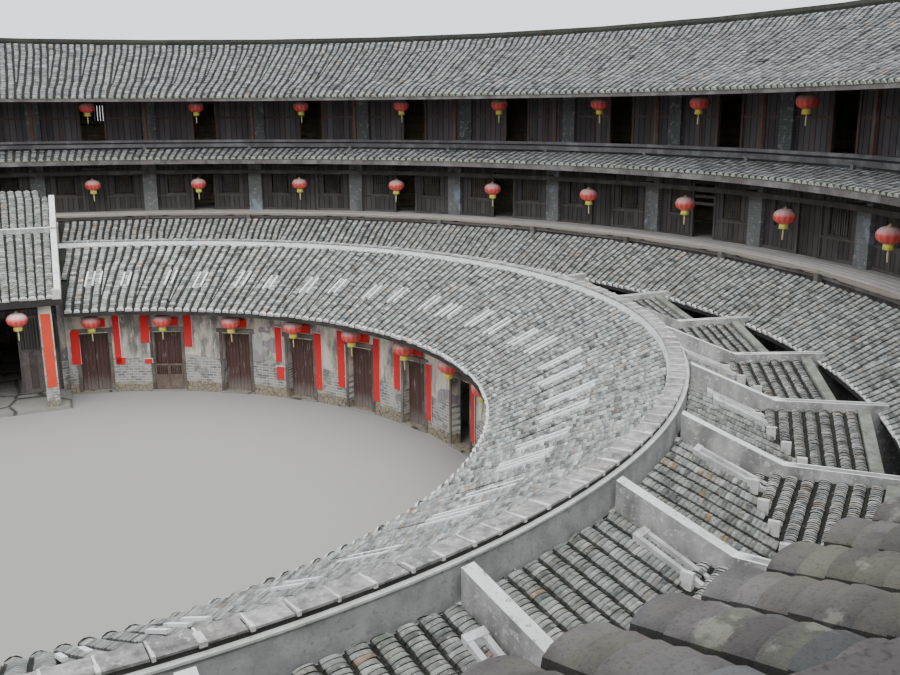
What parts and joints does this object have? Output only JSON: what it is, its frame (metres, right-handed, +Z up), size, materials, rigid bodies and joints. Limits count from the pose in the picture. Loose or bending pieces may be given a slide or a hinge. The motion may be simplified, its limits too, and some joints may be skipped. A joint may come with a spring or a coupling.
{
  "type": "tulou roundhouse, scale model 1:2",
  "caption": "Round earth house with a four-storey outer ring, timber galleries, a low inner ring round a court, and a hall, as a 1:2 scale model.",
  "frame": {"origin": "centre of the court, on the ground", "axes": "+Z up, +Y from the centre towards the hall, main gate on the -Y side, +X to the right when looking along +Y"},
  "size_m": [29.3, 29.1394, 6.5],
  "materials": {
    "rammed_earth": "rammed earth, matt",
    "stone": "rough dressed stone",
    "roof_tile": "weathered grey clay tile",
    "dark_timber": "smoke-darkened boards",
    "weathered_boards": "weathered grey-brown boards",
    "grey_brick": "grey brick, partly plastered",
    "white_plaster": "white lime plaster, stained",
    "door_wood": "dark red-brown planks",
    "lantern_red": "red cloth lantern"
  },
  "bodies": {
    "root": {"stone_footing": "stone", "outer_wall_1": "rammed_earth", "outer_wall_2": "rammed_earth", "outer_wall_3": "rammed_earth", "outer_wall_4": "rammed_earth", "gate_frame": "stone", "gate_leaf_right": "door_wood", "gate_leaf_left": "door_wood", "second_floor": "weathered_boards", "third_floor_deck": "weathered_boards", "gallery_floor": "weathered_boards", "lower_front_wall": "grey_brick", "third_floor_wall_1": "dark_timber", "third_floor_wall_2": "dark_timber", "third_floor_wall_3": "dark_timber", "third_floor_wall_4": "dark_timber", "third_floor_piers": "grey_brick", "gallery_bearer": "dark_timber", "gallery_edge": "weathered_boards", "gallery_posts": "dark_timber", "top_floor_wall": "dark_timber", "top_floor_piers": "grey_brick", "main_roof_court_slope": "roof_tile", "main_roof_outer_slope": "roof_tile", "waist_roof": "roof_tile", "lower_roof": "roof_tile", "court_wall_1": "grey_brick", "court_wall_2": "grey_brick", "court_wall_3": "grey_brick", "court_wall_4": "grey_brick", "inner_front_roof": "roof_tile", "inner_ridge": "white_plaster", "side_wings_1": "white_plaster", "side_wings_2": "white_plaster", "side_wings_3": "white_plaster", "side_wings_4": "white_plaster", "hall_roof": "roof_tile", "hall_walls": "white_plaster", "hall_platform": "stone", "hall_pier_left": "grey_brick", "hall_pier_right": "grey_brick", "hall_screen": "dark_timber", "hall_ridge": "white_plaster", "lanterns_top_floor": "lantern_red", "lanterns_third_floor": "lantern_red", "lanterns_court": "lantern_red"},
    "door_1_left": {"door_1_left": "door_wood"},
    "door_1_right": {"door_1_right": "door_wood"},
    "door_2_left": {"door_2_left": "door_wood"},
    "door_2_right": {"door_2_right": "door_wood"},
    "door_3_left": {"door_3_left": "door_wood"},
    "door_3_right": {"door_3_right": "door_wood"},
    "door_4_left": {"door_4_left": "door_wood"},
    "door_4_right": {"door_4_right": "door_wood"},
    "door_5_left": {"door_5_left": "door_wood"},
    "door_5_right": {"door_5_right": "door_wood"},
    "door_6_left": {"door_6_left": "door_wood"},
    "door_6_right": {"door_6_right": "door_wood"},
    "half_gate_left": {"half_gate_left": "door_wood"},
    "half_gate_right": {"half_gate_right": "door_wood"}
  },
  "joints": [
    {"name": "door_1_left_hinge", "type": "hinge", "parent": "root", "child": "door_1_left", "pos_m": [1.38931, 6.03838, 0.035], "axis": [0, 0, 1], "range_deg": [0, 85]},
    {"name": "door_1_right_hinge", "type": "hinge", "parent": "root", "child": "door_1_right", "pos_m": [1.84708, 5.94108, 0.035], "axis": [0, 0, -1], "range_deg": [0, 85]},
    {"name": "door_2_left_hinge", "type": "hinge", "parent": "root", "child": "door_2_left", "pos_m": [2.6144, 5.61758, 0.035], "axis": [0, 0, 1], "range_deg": [0, 85]},
    {"name": "door_2_right_hinge", "type": "hinge", "parent": "root", "child": "door_2_right", "pos_m": [3.04194, 5.42723, 0.035], "axis": [0, 0, -1], "range_deg": [0, 85]},
    {"name": "door_3_left_hinge", "type": "hinge", "parent": "root", "child": "door_3_left", "pos_m": [3.72523, 4.95126, 0.035], "axis": [0, 0, 1], "range_deg": [0, 85]},
    {"name": "door_3_right_hinge", "type": "hinge", "parent": "root", "child": "door_3_right", "pos_m": [4.10385, 4.67617, 0.035], "axis": [0, 0, -1], "range_deg": [0, 85]},
    {"name": "door_4_left_hinge", "type": "hinge", "parent": "root", "child": "door_4_left", "pos_m": [4.67325, 4.06854, 0.035], "axis": [0, 0, 1], "range_deg": [0, 85]},
    {"name": "door_4_right_hinge", "type": "hinge", "parent": "root", "child": "door_4_right", "pos_m": [4.9864, 3.72075, 0.035], "axis": [0, 0, -1], "range_deg": [0, 85]},
    {"name": "door_5_left_hinge", "type": "hinge", "parent": "root", "child": "door_5_left", "pos_m": [5.41702, 3.00801, 0.035], "axis": [0, 0, 1], "range_deg": [0, 85]},
    {"name": "door_5_right_hinge", "type": "hinge", "parent": "root", "child": "door_5_right", "pos_m": [5.65102, 2.60271, 0.035], "axis": [0, 0, -1], "range_deg": [0, 85]},
    {"name": "door_6_left_hinge", "type": "hinge", "parent": "root", "child": "door_6_left", "pos_m": [5.92405, 1.81601, 0.035], "axis": [0, 0, 1], "range_deg": [0, 85]},
    {"name": "door_6_right_hinge", "type": "hinge", "parent": "root", "child": "door_6_right", "pos_m": [6.06867, 1.37092, 0.035], "axis": [0, 0, -1], "range_deg": [0, 85]},
    {"name": "half_gate_left_hinge", "type": "hinge", "parent": "root", "child": "half_gate_left", "pos_m": [2.57129, 5.52074, 0.035], "axis": [0, 0, -1], "range_deg": [0, 90]},
    {"name": "half_gate_right_hinge", "type": "hinge", "parent": "root", "child": "half_gate_right", "pos_m": [2.99883, 5.33039, 0.035], "axis": [0, 0, 1], "range_deg": [0, 90]}
  ]
}
